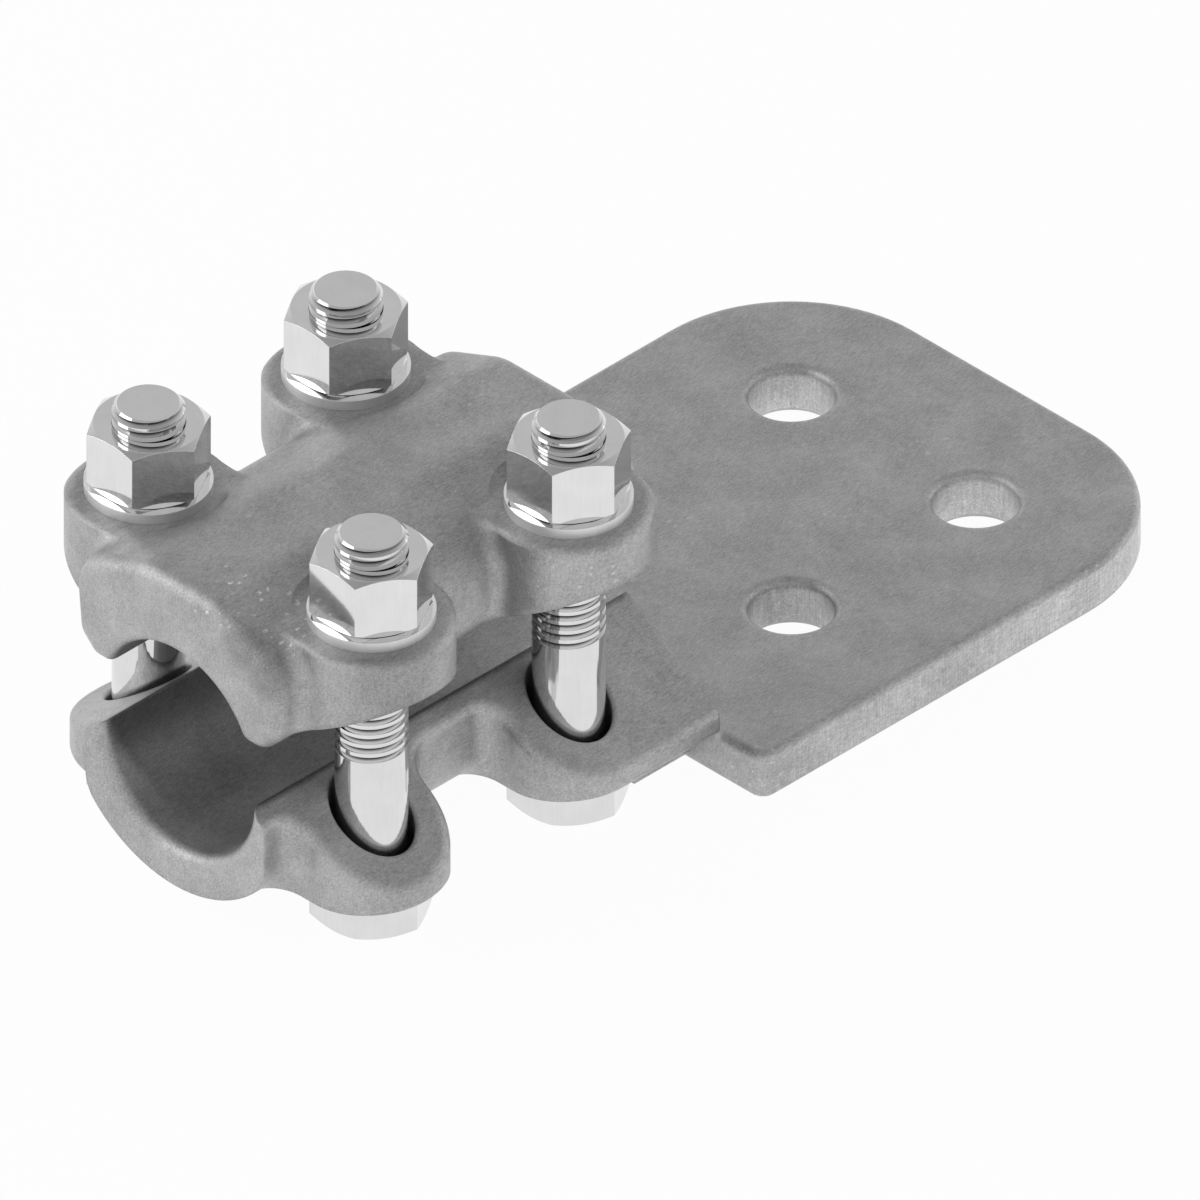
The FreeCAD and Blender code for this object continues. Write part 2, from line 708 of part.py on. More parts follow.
def rings_a_bolt(edge, radius):
    """Whether an edge keeps its distance from one of the bolt axes."""
    first, last = edge.ParameterRange
    points = [edge.valueAt(first + (last - first) * part) for part in (0, 0.3, 0.7, 1)]
    return any(all(near(math.hypot(point.x - x.amount, point.y - y.amount), radius) for point in points)
               for _, x, y in bolt_places())


def cut_crown(body, rear):
    """Cut the bosses level, and give the crown its round edges."""
    crown, flat, top = CROWN, size("crown_half_flat"), UPPER_EAR_TOP
    run, rise = size("keeper_half_width") - flat, size("crown_rise")
    slope = (run * run + rise * rise).root()
    radius = size("crown_round")
    back = radius * (slope - run) / rise
    foot = flat + (crown - top) * run / rise
    outer, high = UPPER_EAR_OUTER + ROOM, crown + ROOM * 2
    sketch = sketch_on(body, "YZ_Plane", "crown_outline", rear)
    add_outline(sketch, (-outer, top), [
        (-foot, top),
        (-flat - back * run / slope, crown - back * rise / slope),
        (-flat + back, crown, radius, -1),
        (flat - back, crown),
        (flat + back * run / slope, crown - back * rise / slope, radius, -1),
        (foot, top),
        (outer, top),
        (outer, high),
        (-outer, high),
        (-outer, top),
    ])
    pocket(body, sketch, "crown", size("keeper_length"))


def cut_boss_undersides(body, rear):
    """Cut the bosses' undersides to a slope that rises from the arch's waist to their outer ends."""
    waist, height = size("waist_half_width"), size("waist_height")
    slope = (UPPER_EAR_BOTTOM - height) / (UPPER_EAR_OUTER - waist)
    outer = UPPER_EAR_OUTER + ROOM
    sketch = sketch_on(body, "YZ_Plane", "boss_underside_outline", rear)
    for across in (1, -1):
        add_outline(sketch, (waist * across, height), [
            (outer * across, height + (outer - waist) * slope),
            (outer * across, height - ROOM),
            ((waist - ROOM) * across, height - ROOM),
            (waist * across, height),
        ])
    pocket(body, sketch, "boss_undersides", size("keeper_length"))


def cut_washer_seat(body, corner, x, y):
    """The level seat cut into the crown's flank, with a round foot."""
    radius, foot, seat = size("washer_seat_radius"), size("washer_seat_round"), UPPER_EAR_TOP
    high = CROWN + ROOM
    sketch = upright_sketch(body, f"washer_seat_{corner}_outline", x, y)
    add_outline(sketch, (0, seat), [
        (radius, seat),
        (radius + foot, seat + foot, foot, 1),
        (radius + foot, high),
        (0, high),
        (0, seat),
    ])
    revolve(body, sketch, f"washer_seat_{corner}", cut=True)


def hex_block(body, name, bottom, height):
    """A hexagonal prism about the body's Z axis."""
    sketch = sketch_on(body, "XY_Plane", f"{name}_hexagon", bottom)
    add_hexagon(sketch, 0, 0, size("hex_across_flats") / 2)
    pad(body, sketch, name, height)


def bevel_hexagon(body, name, face, inward):
    """Turn the corners off a hexagon's end face, inward being 1 if the metal lies above the face."""
    flat = size("hex_across_flats") / 2
    corner = HEX_CORNER_RADIUS + ROOM
    angle = size("hex_bevel_angle")
    slope = Size(math.tan(math.radians(angle.amount)), f"tan({angle.text})")
    depth = (corner - flat) * slope * inward
    sketch = sketch_on(body, "XZ_Plane", f"{name}_outline")
    add_outline(sketch, (flat, face), [
        (corner, face + depth),
        (corner, face - inward * ROOM),
        (flat, face - inward * ROOM),
        (flat, face),
    ])
    revolve(body, sketch, name, cut=True)


def place(body, x, y):
    """Stand a turned piece on its bolt axis."""
    body.Placement = FreeCAD.Placement(FreeCAD.Vector(x.amount, y.amount, 0), FreeCAD.Rotation())
    bind(body, "Placement.Base.x", x)
    bind(body, "Placement.Base.y", y)


def build_bolt(corner, x, y):
    """A hex head bolt, head down."""
    body = new_body(f"bolt_{corner}")
    hex_block(body, "head", HEAD_BOTTOM, size("head_height"))
    end = NUT_TOP + size("bolt_end_rise")
    chamfer = size("bolt_end_chamfer")
    sketch = sketch_on(body, "XZ_Plane", "shank_outline")
    add_outline(sketch, (0, HEAD_BOTTOM), [
        (BOLT_RADIUS, HEAD_BOTTOM),
        (BOLT_RADIUS, end - chamfer),
        (BOLT_RADIUS - chamfer, end),
        (0, end),
        (0, HEAD_BOTTOM),
    ])
    revolve(body, sketch, "shank")
    bevel_hexagon(body, "head_bevel", HEAD_BOTTOM, 1)
    place(body, x, y)
    return body


def build_washer(corner, x, y):
    """A conical spring washer, its wide edge down on the keeper."""
    body = new_body(f"spring_washer_{corner}")
    seat = UPPER_EAR_TOP
    outer, inner = size("washer_outer_diameter") / 2, size("washer_inner_diameter") / 2
    thickness, rise = size("washer_thickness"), size("washer_rise")
    sketch = sketch_on(body, "XZ_Plane", "washer_outline")
    add_outline(sketch, (outer, seat), [
        (outer, seat + thickness),
        (inner, seat + thickness + rise),
        (inner, seat + rise),
        (outer, seat),
    ])
    revolve(body, sketch, "cone")
    place(body, x, y)
    return body


def build_nut(corner, x, y):
    """A hex nut, bevelled at both faces."""
    body = new_body(f"nut_{corner}")
    hex_block(body, "block", NUT_BOTTOM, size("nut_height"))
    bevel_hexagon(body, "top_bevel", NUT_TOP, -1)
    bevel_hexagon(body, "bottom_bevel", NUT_BOTTOM, 1)
    sketch = sketch_on(body, "XY_Plane", "bore_outline", NUT_TOP)
    add_circle(sketch, 0, 0, BOLT_RADIUS + size("thread_clearance"))
    pocket(body, sketch, "bore", size("nut_height"))
    place(body, x, y)
    return body


def check(parts):
    """Stop if any object failed or any piece has no valid solid."""
    for thing in document.Objects:
        if "Invalid" in thing.State or "Error" in thing.State:
            raise RuntimeError(f"{thing.Label} failed: {thing.State}")
    for part in parts:
        if part.Shape.isNull() or not part.Shape.isValid() or len(part.Shape.Solids) != 1:
            raise RuntimeError(f"{part.Label} is not one valid solid")


def main():
    """Build every piece, check it and write it."""
    fill_sheet()
    parts = [build_terminal_body(), build_keeper()]
    for corner, x, y in bolt_places():
        parts.append(build_bolt(corner, x, y))
        parts.append(build_washer(corner, x, y))
        parts.append(build_nut(corner, x, y))
    document.recompute()
    check(parts)
    os.makedirs("parts", exist_ok=True)
    for part in parts:
        part.Shape.exportStep(f"parts/{part.Label}.step")
        print(part.Label, round(part.Shape.Volume, 1), part.Shape.BoundBox)


main()
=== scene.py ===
"""Looks of a bolted cable-to-flat terminal connector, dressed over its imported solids.

Two cast aluminium halves are drawn together by four bright plated hex bolts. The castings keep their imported
shapes and get a matte finish with grain, clouds, scratches and small bright specks. The bolts get a real
helical thread. Lengths are metres. X runs along the conductor towards the pad's far edge, Y is across and Z
is up.
"""
import logging
import math
from dataclasses import dataclass
from enum import Enum
from typing import Sequence, Union

import bpy
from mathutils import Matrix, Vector


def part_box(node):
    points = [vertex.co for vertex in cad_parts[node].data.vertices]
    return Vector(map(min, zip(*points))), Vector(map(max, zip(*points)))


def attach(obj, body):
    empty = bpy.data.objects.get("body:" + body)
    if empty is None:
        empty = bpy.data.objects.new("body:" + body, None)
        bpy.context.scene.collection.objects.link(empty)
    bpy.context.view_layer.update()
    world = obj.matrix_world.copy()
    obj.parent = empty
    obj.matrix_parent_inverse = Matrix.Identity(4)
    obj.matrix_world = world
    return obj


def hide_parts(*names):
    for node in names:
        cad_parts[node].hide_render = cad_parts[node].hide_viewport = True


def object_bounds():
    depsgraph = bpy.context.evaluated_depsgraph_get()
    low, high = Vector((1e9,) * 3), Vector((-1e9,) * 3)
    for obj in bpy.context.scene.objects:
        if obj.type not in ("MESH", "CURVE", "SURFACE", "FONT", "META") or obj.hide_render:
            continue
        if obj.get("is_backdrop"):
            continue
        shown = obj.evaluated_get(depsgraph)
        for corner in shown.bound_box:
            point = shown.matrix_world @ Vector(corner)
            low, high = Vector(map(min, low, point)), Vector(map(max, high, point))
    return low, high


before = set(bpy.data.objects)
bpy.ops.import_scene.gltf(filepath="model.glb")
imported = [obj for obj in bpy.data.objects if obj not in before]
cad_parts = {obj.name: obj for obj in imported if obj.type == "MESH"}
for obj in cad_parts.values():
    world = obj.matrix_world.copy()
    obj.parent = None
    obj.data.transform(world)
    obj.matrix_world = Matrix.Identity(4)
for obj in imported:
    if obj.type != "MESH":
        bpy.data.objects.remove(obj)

logging.basicConfig(level=logging.INFO, format="%(message)s")
report = logging.getLogger("terminal_connector")

MM = 0.001
WHITE = (1.0, 1.0, 1.0, 1.0)

# the bolts' axes stand in a rectangle: the X of its middle, half its length and half its width
BOLT_MIDDLE_X = -104.5 * MM
BOLT_HALF_X = 23.8125 * MM
BOLT_HALF_Y = 26.9 * MM
BOLT_TOP = 70.9 * MM

# rays that a shader sends from a point to find recesses and edges
RAYS_A_POINT = 4
# vertices nearer than this are joined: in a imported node, and after a cut
NODE_MERGE = 0.002 * MM
CUT_MERGE = 0.001 * MM

Number = Union[int, float]
Operand = Union["Value", Number]
Socket = bpy.types.NodeSocket
Place = tuple[float, float, float]


class Corner(Enum):
    """The four bolt places, named from the clamp's open end."""

    FRONT_LEFT = "front_left"
    FRONT_RIGHT = "front_right"
    REAR_LEFT = "rear_left"
    REAR_RIGHT = "rear_right"


# ---------------------------------------------------------------- shader arithmetic


class Value:
    """A number that a shader works out, so that Python's own operators add the nodes."""

    def __init__(self, graph: "Graph", socket: Socket) -> None:
        """Hold the graph and the output socket that carries the number."""
        self.graph = graph
        self.socket = socket

    def __add__(self, other: Operand) -> "Value":
        """Sum of this and another."""
        return self.graph.math("ADD", self, other)

    __radd__ = __add__

    def __sub__(self, other: Operand) -> "Value":
        """This less another."""
        return self.graph.math("SUBTRACT", self, other)

    def __rsub__(self, other: Operand) -> "Value":
        """Another less this."""
        return self.graph.math("SUBTRACT", other, self)

    def __mul__(self, other: Operand) -> "Value":
        """Product of this and another."""
        return self.graph.math("MULTIPLY", self, other)

    __rmul__ = __mul__

    def between(self, low: Number, high: Number) -> "Value":
        """0 below low, 1 above high and a smooth step from one to the other."""
        node = self.graph.node(
            "ShaderNodeMapRange",
            {"interpolation_type": "SMOOTHSTEP"},
            {"Value": self, "From Min": low, "From Max": high},
        )
        return Value(self.graph, node.outputs["Result"])


class Graph:
    """The node tree of one material or of the world."""

    def __init__(self, tree: bpy.types.NodeTree) -> None:
        """Start with an empty tree."""
        self.tree = tree
        tree.nodes.clear()

    def node(self, kind: str, settings: dict | None = None, sockets: dict | None = None) -> bpy.types.Node:
        """Add a node.

        Args:
            kind: the node's type.
            settings: its own properties, set first.
            sockets: values or links of its input sockets, by name or number.

        Returns:
            The new node.
        """
        made = self.tree.nodes.new(kind)
        for name, setting in (settings or {}).items():
            setattr(made, name, setting)
        for key, given in (sockets or {}).items():
            socket = made.inputs[key]
            if isinstance(given, Value):
                self.tree.links.new(given.socket, socket)
            elif isinstance(given, Socket):
                self.tree.links.new(given, socket)
            else:
                socket.default_value = given
        return made

    def math(self, operation: str, *operands: Operand) -> Value:
        """A Math node on one or two operands."""
        made = self.node("ShaderNodeMath", {"operation": operation}, dict(enumerate(operands)))
        return Value(self, made.outputs[0])

    def place(self) -> Socket:
        """The point on the piece, in the object's own metres."""
        return self.node("ShaderNodeTexCoord").outputs["Object"]

    def split(self, vector: Socket) -> tuple[Value, Value, Value]:
        """A vector's X, Y and Z."""
        made = self.node("ShaderNodeSeparateXYZ", {}, {"Vector": vector})
        return tuple(Value(self, made.outputs[axis]) for axis in "XYZ")

    def coordinates(self) -> tuple[Value, Value, Value]:
        """The point's X, Y and Z."""
        return self.split(self.place())

    def off_axis(self) -> Value:
        """How far a point lies from the axis of the nearest of the four bolts.

        Returns:
            The distance, in metres.
        """
        x, y, _ = self.coordinates()
        along = self.math("ABSOLUTE", x - BOLT_MIDDLE_X) - BOLT_HALF_X
        aside = self.math("ABSOLUTE", y) - BOLT_HALF_Y
        return self.math("SQRT", along * along + aside * aside)

    def upright(self) -> Value:
        """Pick out the faces that stand upright.

        Returns:
            1 up to 9 degrees off upright, 0 from 27 degrees on.
        """
        _, _, rise = self.split(self.node("ShaderNodeNewGeometry").outputs["Normal"])
        return 1 - self.math("ABSOLUTE", rise).between(0.15, 0.45)

    def near(self, centre: Place, reach: float, core: float) -> Value:
        """A soft ball.

        Args:
            centre: its middle.
            reach: its radius.
            core: the share of the radius within which it is full.

        Returns:
            1 in the core, 0 beyond the radius.
        """
        away = self.node("ShaderNodeVectorMath", {"operation": "DISTANCE"}, {0: self.place(), 1: centre})
        return 1 - Value(self, away.outputs["Value"]).between(reach * core, reach)

    def stretched(self, factors: Sequence[float], spin: float = 0.0) -> Socket:
        """The point, turned about Z and then scaled along each axis, for marks that run one way."""
        sockets = {"Vector": self.place(), "Rotation": (0.0, 0.0, spin), "Scale": factors}
        return self.node("ShaderNodeMapping", {}, sockets).outputs["Vector"]

    def noise(self, size: float, detail: float, rough: float, at: Socket | None = None) -> Value:
        """Cloudy noise.

        Args:
            size: width of its main features, in metres.
            detail: number of finer layers.
            rough: strength of the finer layers.
            at: the point, where it isn't the plain place.

        Returns:
            A value about 0.5, from 0 to 1.
        """
        made = self.node(
            "ShaderNodeTexNoise",
            {"noise_dimensions": "3D"},
            {"Vector": at or self.place(), "Scale": 1.0 / size, "Detail": detail, "Roughness": rough},
        )
        return Value(self, made.outputs[0])

    def specks(self, spacing: float, reach: float, share: float, at: Socket | None = None) -> Value:
        """Small spots, one in some of the cells of a random pattern.

        Args:
            spacing: width of a cell.
            reach: radius of a spot, as a share of the cell.
            share: how many of the cells hold a spot, from 0 to 1.
            at: the point, where it isn't the plain place.

        Returns:
            1 in a spot and 0 outside.
        """
        made = self.node(
            "ShaderNodeTexVoronoi",
            {"feature": "F1"},
            {"Vector": at or self.place(), "Scale": 1.0 / spacing},
        )
        split = self.node("ShaderNodeSeparateColor", {}, {"Color": made.outputs["Color"]})
        chosen = Value(self, split.outputs[0]).between(1.0 - share, 1.0 - share + 0.01)
        near = 1 - Value(self, made.outputs["Distance"]).between(reach * 0.4, reach)
        return chosen * near

    def blend(self, share: Operand, low: Union[float, Socket], high: float) -> Socket:
        """A colour between two.

        Args:
            share: how far it lies from the first to the second, from 0 to 1.
            low: the first, a grey or a colour already worked out.
            high: the second, a grey.

        Returns:
            The colour.
        """
        start = low if isinstance(low, Socket) else grey(low)
        made = self.node("ShaderNodeMix", {"data_type": "RGBA"}, {0: share, 6: start, 7: grey(high)})
        return made.outputs[2]

    def scaled(self, colour: Socket, share: Value) -> Socket:
        """A colour times a share."""
        made = self.node("ShaderNodeVectorMath", {"operation": "SCALE"}, {0: colour, "Scale": share})
        return made.outputs["Vector"]

    def openness(self, reach: float, alone: bool) -> Value:
        """How open a point lies.

        Args:
            reach: how far anything hides it.
            alone: whether only the piece itself hides it.

        Returns:
            0 in a deep recess, 1 in the open.
        """
        settings = {"samples": RAYS_A_POINT, "only_local": alone}
        made = self.node("ShaderNodeAmbientOcclusion", settings, {"Distance": reach})
        return Value(self, made.outputs["AO"])

    def worn_and_lit_edges(self, radius: float) -> tuple[Socket, Value]:
        """The normal with its corners rounded, and how much it differs there from the plain one.

        Args:
            radius: the rounding, in metres.

        Returns:
            The rounded normal, and 0 where the two differ by less than 5 degrees, 1 where by 28 or more.
        """
        soft = self.node("ShaderNodeBevel", {"samples": RAYS_A_POINT}, {"Radius": radius}).outputs["Normal"]
        plain = self.node("ShaderNodeNewGeometry").outputs["Normal"]
        same = self.node("ShaderNodeVectorMath", {"operation": "DOT_PRODUCT"}, {0: soft, 1: plain})
        return soft, (1 - Value(self, same.outputs["Value"])).between(0.004, 0.12)

    def bump(self, height: Value, distance: float, strength: float, normal: Socket) -> Socket:
        """The normal over a rough height, laid over another normal."""
        sockets = {"Height": height, "Distance": distance, "Strength": strength, "Normal": normal}
        return self.node("ShaderNodeBump", {}, sockets).outputs["Normal"]

    def metal(self, sockets: dict) -> None:
        """Close a material with one surface shader and its output.

        Args:
            sockets: the shader's values and links, by name.
        """
        surface = self.node("ShaderNodeBsdfPrincipled", {}, sockets)
        self.node("ShaderNodeOutputMaterial", {}, {"Surface": surface.outputs[0]})


def grey(level: float) -> tuple[float, float, float, float]:
    """An opaque grey."""
    return level, level, level, 1.0


def new_graph(name: str) -> tuple[bpy.types.Material, Graph]:
    """Start a material.

    Args:
        name: its name.

    Returns:
        The material and its empty node tree.
    """
    material = bpy.data.materials.new(name)
    material.use_nodes = True
    return material, Graph(material.node_tree)


# ---------------------------------------------------------------- finishes


@dataclass(frozen=True)
class Layer:
    """One layer of noise: its size, its finer layers, how much it counts for and how it is drawn out."""

    size: float
    detail: float
    rough: float
    weight: float
    stretch: Place | None = None
    spin: float = 0.0

    def noise(self, graph: Graph) -> Value:
        """The noise alone, about 0.5."""
        at = graph.stretched(self.stretch, self.spin) if self.stretch else None
        return graph.noise(self.size, self.detail, self.rough, at)

    def swing(self, graph: Graph) -> Value:
        """What the layer adds or takes away, about 0."""
        return (self.noise(graph) - 0.5) * self.weight


@dataclass(frozen=True)
class Area:
    """One or more soft balls in a casting: their middles, their radius and the share of it that is full."""

    places: tuple[Place, ...]
    reach: float
    core: float

    def cover(self, graph: Graph) -> Value:
        """How far a point lies within the nearest ball.

        Args:
            graph: the material's tree.

        Returns:
            1 in a ball's core, 0 outside all of them.
        """
        covers = [graph.near(place, self.reach, self.core) for place in self.places]
        nearest = covers[0]
        for cover in covers[1:]:
            nearest = graph.math("MAXIMUM", nearest, cover)
        return nearest


@dataclass(frozen=True)
class CastFinish:
    """Sand-cast aluminium, tumbled: matte, with grain, short scratches, clouds and bright specks.

    The clamp is the end with the bolts, and the bed is where the conductor lies in it. The bed and the
    clamp's recesses are darkened by painted shade, all but the bed's front lip, which is left light as a
    painted lit rounding. The pad's cut sides and hole walls are lightened by painted light, with a painted
    highlight at the far end.
    """

    name: str
    edge_round: float
    floor_shades: bool
    dark: float = 0.30
    light: float = 0.60
    # rounded edges lighter: partly wear, partly a painted highlight
    edge_wear_and_highlight: float = 0.06
    # grain, skin, clouds, scratches three ways over the level faces, and upright ones on the sides
    shade_layers: tuple[Layer, ...] = (
        Layer(0.34 * MM, 2.0, 0.60, 0.85),
        Layer(1.90 * MM, 2.0, 0.55, 0.30),
        Layer(11.0 * MM, 3.0, 0.50, 0.60),
        Layer(0.30 * MM, 1.0, 0.50, 0.315, (0.2, 1.0, 1.0), 0.35),
        Layer(0.30 * MM, 1.0, 0.50, 0.315, (0.2, 1.0, 1.0), 1.5),
        Layer(0.30 * MM, 1.0, 0.50, 0.315, (0.2, 1.0, 1.0), 2.5),
        Layer(0.36 * MM, 1.0, 0.50, 0.280, (1.0, 1.0, 0.22)),
    )
    # gloss
    metallic: float = 0.85
    coat: float = 0.15
    coat_roughness: float = 0.42
    roughness: float = 0.48
    pit_roughness: float = 0.14
    edge_polish: float = 0.06
    # relief
    fine_relief: Layer = Layer(0.442 * MM, 2.0, 0.60, 0.24)
    pits: Layer = Layer(1.50 * MM, 2.0, 0.55, 0.30)
    swells: Layer = Layer(8.00 * MM, 1.0, 0.50, 1.0)
    saw_relief: float = 0.5
    relief: float = 0.14 * MM
    relief_strength: float = 0.6
    # specks: a level of noise starts a patch of them, another breaks up their outlines
    speck_shade: float = 0.86
    speck_cell: float = 1.3 * MM
    speck_stretch: Place = (0.55, 1.0, 1.0)
    speck_spin: float = 0.9
    speck_patches: Layer = Layer(20 * MM, 1.0, 0.5, 0.36)
    patch_starts: tuple[float, float] = (0.58, 0.70)
    speck_breakup: float = 0.6 * MM
    breakup_starts: tuple[float, float] = (0.36, 0.58)
    stray_specks: float = 0.25
    scuffs: Area = Area(
        ((-142 * MM, -8.8 * MM, 56.4 * MM), (-137.5 * MM, -19.1 * MM, 53.3 * MM)),
        reach=11 * MM,
        core=0.4,
    )
    # painted shadows on the keeper: at its right foot, in place of a wider rounding, and on its front right
    # ear, where less light falls
    foot_shadows: Area = Area(
        ((-148.9 * MM, -15.8 * MM, 50.8 * MM), (-148.9 * MM, -21.8 * MM, 47.5 * MM)),
        reach=6.5 * MM,
        core=0.25,
    )
    foot_shadow_level: float = 0.68
    ear: Area = Area(((-136 * MM, -40 * MM, 46 * MM),), reach=13 * MM, core=0.3)
    ear_shadow_level: float = 0.80
    # painted shade in the recesses of the clamp and in the bed, whose wall and lip are each given from start
    # to end;
    # the lip is kept free of it, as a painted lit rounding
    recess_shadow_level: float = 0.40
    recess_reach: float = 13 * MM
    clamp_fades: tuple[float, float] = (-60 * MM, -57 * MM)
    bed_shadow_level: float = 0.48
    bed_height: float = 20.6 * MM
    bed_wall: tuple[float, float] = (18.2 * MM, 19.4 * MM)
    lip: tuple[float, float] = (-149.6 * MM, -146.4 * MM)
    lip_slope: float = 0.34
    # cut sides of the pad: saw marks, and painted light on the upright faces, with a painted highlight
    # towards the far end
    pad_starts: tuple[float, float] = (-52 * MM, -49 * MM)
    saw_marks: Layer = Layer(0.45 * MM, 2.0, 0.6, 0.7, (1.0, 1.0, 0.07))
    cut_painted_light: float = 0.10
    far_painted_highlight: float = 0.30
    far_highlight_grows: tuple[float, float] = (-15 * MM, 45 * MM)

    def shade(self, graph: Graph, edges: Value) -> Value:
        """How light the metal is.

        Args:
            graph: the material's tree.
            edges: the rounded edges, lightened partly as wear, partly as a painted highlight.

        Returns:
            The share of the light colour, from 0 to 1.
        """
        # rounded edges lighter: partly wear, partly a painted highlight
        share = 0.5 + edges * self.edge_wear_and_highlight
        for layer in self.shade_layers:
            share = share + layer.swing(graph)
        return share.between(0.0, 1.0)

    def specks(self, graph: Graph) -> Value:
        """Bright specks, crowded in a few patches and rare elsewhere.

        Args:
            graph: the material's tree.

        Returns:
            1 in a speck and 0 outside.
        """
        patches = self.speck_patches.noise(graph).between(*self.patch_starts) * self.speck_patches.weight
        patches = graph.math("MAXIMUM", patches, self.scuffs.cover(graph))
        drawn = graph.stretched(self.speck_stretch, self.speck_spin)
        crowd = graph.specks(self.speck_cell, reach=0.36, share=0.60, at=drawn) * patches
        few = graph.specks(self.speck_cell * 2, reach=0.10, share=0.35, at=drawn) * self.stray_specks
        breakup = graph.noise(self.speck_breakup, detail=1.0, rough=0.5)
        return (crowd + few) * breakup.between(*self.breakup_starts)

    def lit_cut_sides(self, graph: Graph) -> tuple[Value, Value]:
        """The pad's sides and hole walls: painted light on them, a painted highlight most at the far end,
        with upright saw marks.

        Args:
            graph: the material's tree.

        Returns:
            A factor from 1 up, of painted light and the marks' tone, and how strongly the marks show.
        """
        x, _, _ = graph.coordinates()
        cut = graph.upright() * x.between(*self.pad_starts)
        marks = self.saw_marks.noise(graph)
        far = x.between(*self.far_highlight_grows)
        # painted light on the pad's upright faces, strongest at the far end as a painted highlight, plus the
        # saw marks' tone
        light_and_marks = self.cut_painted_light + far * self.far_painted_highlight + (marks - 0.5) * self.saw_marks.weight
        return 1 + cut * light_and_marks, marks * cut

    def painted_shadows(self, graph: Graph) -> Value:
        """Painted shadow where the keeper's right foot runs out of its crown, in place of a wider rounding,
        and painted shade on its front right ear.

        Args:
            graph: the material's tree.

        Returns:
            A factor up to 1.
        """
        # painted shadow at the foot and painted shade on the ear, both darkening the colour
        foot = 1 - self.foot_shadows.cover(graph) * (1 - self.foot_shadow_level)
        return foot * (1 - self.ear.cover(graph) * (1 - self.ear_shadow_level))

    def painted_recess_shade(self, graph: Graph) -> Value:
        """Painted shade: how much of the metal's colour is kept, less in the clamp's recesses, least in the
        bed.

        Args:
            graph: the material's tree.

        Returns:
            A factor up to 1.
        """
        x, y, z = graph.coordinates()
        level = z - self.bed_height
        bed = 1 - graph.math("SQRT", y * y + level * level).between(*self.bed_wall)
        # the lip, kept free of painted shade as a painted lit rounding, reaches farther in at the bottom of
        # the bed than at its sides
        inside = (x + level * self.lip_slope).between(*self.lip)
        clamp = 1 - x.between(*self.clamp_fades)
        hidden = (1 - graph.openness(self.recess_reach, not self.floor_shades)) * clamp
        on_lip = bed * (1 - inside)
        # painted shade from ambient occlusion in the clamp's recesses, and a deeper painted shade over the
        # bed
        recesses = 1 - hidden * (1 - on_lip) * (1 - self.recess_shadow_level)
        return recesses * (1 - bed * inside * clamp * (1 - self.bed_shadow_level))

    def material(self) -> bpy.types.Material:
        """Build the material.

        Returns:
            The material, on the piece's own coordinates.
        """
        material, graph = new_graph(self.name)
        soft, edges = graph.worn_and_lit_edges(self.edge_round)
        pits = self.pits.noise(graph)
        metal = graph.blend(self.shade(graph, edges), self.dark, self.light)
        speckled = graph.blend(self.specks(graph), metal, self.speck_shade)
        side_painted_light, marks = self.lit_cut_sides(graph)
        height = (
            self.fine_relief.noise(graph) * self.fine_relief.weight
            + pits * self.pits.weight
            + self.swells.noise(graph) * self.swells.weight
            + marks * self.saw_relief
        )
        graph.metal({
            # the colour carries painted shade in the recesses and the bed, painted shadows on the keeper, and
            # painted light on the pad's sides
            "Base Color": graph.scaled(speckled, self.painted_recess_shade(graph) * self.painted_shadows(graph) * side_painted_light),
            "Metallic": self.metallic,
            "Roughness": self.roughness + (pits - 0.5) * self.pit_roughness - edges * self.edge_polish,
            "Normal": graph.bump(height, self.relief, self.relief_strength, soft),
            "Coat Weight": self.coat,
            "Coat Roughness": self.coat_roughness,
        })
        return material


